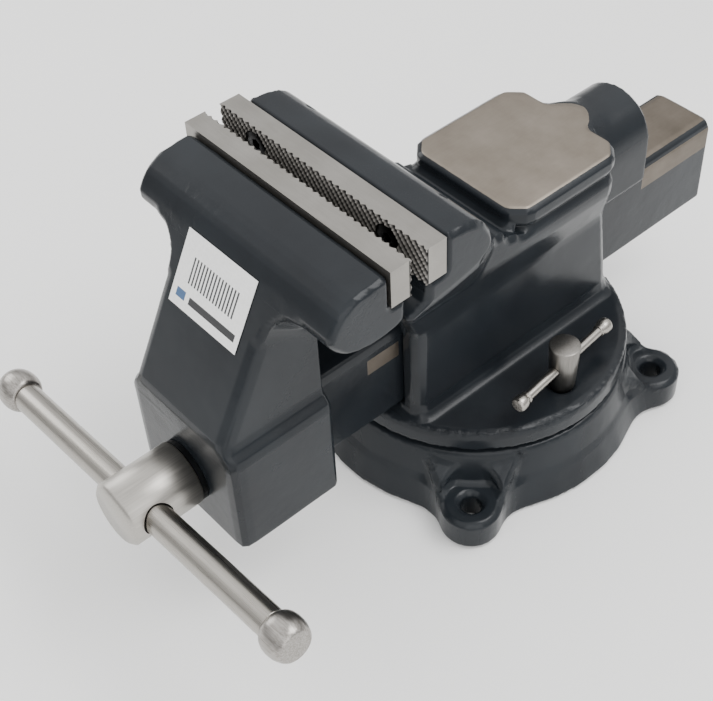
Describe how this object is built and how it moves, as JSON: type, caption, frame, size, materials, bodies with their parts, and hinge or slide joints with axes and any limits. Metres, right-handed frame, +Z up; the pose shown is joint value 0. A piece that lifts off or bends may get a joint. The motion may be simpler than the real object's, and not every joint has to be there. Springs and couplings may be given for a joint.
{
  "type": "bench vise",
  "caption": "Cast iron bench vise with a swivel base, sliding front jaw, lead screw with a sliding tommy bar, bolted steel jaw plates and an anvil behind the fixed jaw.",
  "frame": {"origin": "centre of the bounding box's bottom face, on the bench plane under the swivel base", "axes": "+Z up, +Y from the front jaw and lead screw toward the tail of the slide, +X along the jaws' width"},
  "size_m": [0.2514, 0.4276, 0.2273],
  "materials": {
    "swivel_base": "gloss dark blue-grey enamel over cast iron",
    "fixed_body": "gloss dark blue-grey enamel over cast iron",
    "jaw_plate_fixed": "ground, serrated on the gripping face",
    "jaw_screw_fixed_a": "black oxide steel",
    "jaw_screw_fixed_b": "black oxide steel",
    "lead_nut": "bare cast iron",
    "nut_bolt": "black oxide steel",
    "clamp_dog_right": "bare cast iron",
    "clamp_dog_left": "bare cast iron",
    "moving_jaw": "gloss dark blue-grey enamel over cast iron",
    "jaw_plate_moving": "ground, serrated on the gripping face",
    "jaw_screw_moving_a": "black oxide steel",
    "jaw_screw_moving_b": "black oxide steel",
    "label": "blank white printed film",
    "lead_screw": "turned bright steel",
    "thrust_washer": "black oxide steel",
    "retaining_spring": "plain steel",
    "retaining_washer": "plain steel",
    "split_pin": "plain steel",
    "handle_bar": "turned bright steel",
    "handle_knob_a": "turned bright steel",
    "handle_knob_b": "turned bright steel",
    "lock_bolt_right": "turned bright steel",
    "lock_tbar_right": "turned bright steel",
    "lock_bolt_left": "turned bright steel",
    "lock_tbar_left": "turned bright steel"
  },
  "bodies": {
    "base": {"swivel_base": "swivel_base"},
    "body": {"fixed_body": "fixed_body", "jaw_plate_fixed": "jaw_plate_fixed", "jaw_screw_fixed_a": "jaw_screw_fixed_a", "jaw_screw_fixed_b": "jaw_screw_fixed_b", "lead_nut": "lead_nut", "nut_bolt": "nut_bolt", "clamp_dog_right": "clamp_dog_right", "clamp_dog_left": "clamp_dog_left"},
    "jaw": {"moving_jaw": "moving_jaw", "jaw_plate_moving": "jaw_plate_moving", "jaw_screw_moving_a": "jaw_screw_moving_a", "jaw_screw_moving_b": "jaw_screw_moving_b", "label": "label"},
    "spindle": {"lead_screw": "lead_screw", "thrust_washer": "thrust_washer", "retaining_spring": "retaining_spring", "retaining_washer": "retaining_washer", "split_pin": "split_pin"},
    "handle": {"handle_bar": "handle_bar", "handle_knob_a": "handle_knob_a", "handle_knob_b": "handle_knob_b"},
    "lock_right": {"lock_bolt_right": "lock_bolt_right"},
    "tbar_right": {"lock_tbar_right": "lock_tbar_right"},
    "lock_left": {"lock_bolt_left": "lock_bolt_left"},
    "tbar_left": {"lock_tbar_left": "lock_tbar_left"}
  },
  "joints": [
    {"name": "body_swivel", "type": "hinge", "parent": "base", "child": "body", "pos_m": [0, 0.0348, 0.05], "axis": [0, 0, 1], "continuous": true},
    {"name": "jaw_slide", "type": "slide", "parent": "body", "child": "jaw", "axis": [0, -1, 0], "range_m": [-0.0079, 0.142]},
    {"name": "spindle_turn", "type": "hinge", "parent": "jaw", "child": "spindle", "pos_m": [0, -0.1991, 0.09025], "axis": [0, -1, 0], "range_deg": [-480, 8530]},
    {"name": "handle_slide", "type": "slide", "parent": "spindle", "child": "handle", "axis": [0.9954, 0, 0.0958], "range_m": [-0.0885, 0.0885]},
    {"name": "lock_turn_right", "type": "hinge", "parent": "body", "child": "lock_right", "pos_m": [0.07, 0.0348, 0.0733], "axis": [0, 0, 1], "range_deg": [-30, 10]},
    {"name": "tbar_slide_right", "type": "slide", "parent": "lock_right", "child": "tbar_right", "axis": [-0.1115, 0.9938, 0], "range_m": [-0.0235, 0.0235]},
    {"name": "lock_turn_left", "type": "hinge", "parent": "body", "child": "lock_left", "pos_m": [-0.07, 0.0348, 0.0733], "axis": [0, 0, 1], "range_deg": [-10, 30]},
    {"name": "tbar_slide_left", "type": "slide", "parent": "lock_left", "child": "tbar_left", "axis": [0.1115, 0.9938, 0], "range_m": [-0.0235, 0.0235]}
  ],
  "couplings": [
    {"joint": "spindle_turn", "follows": "jaw_slide", "rad_per_m": 1047.2}
  ]
}
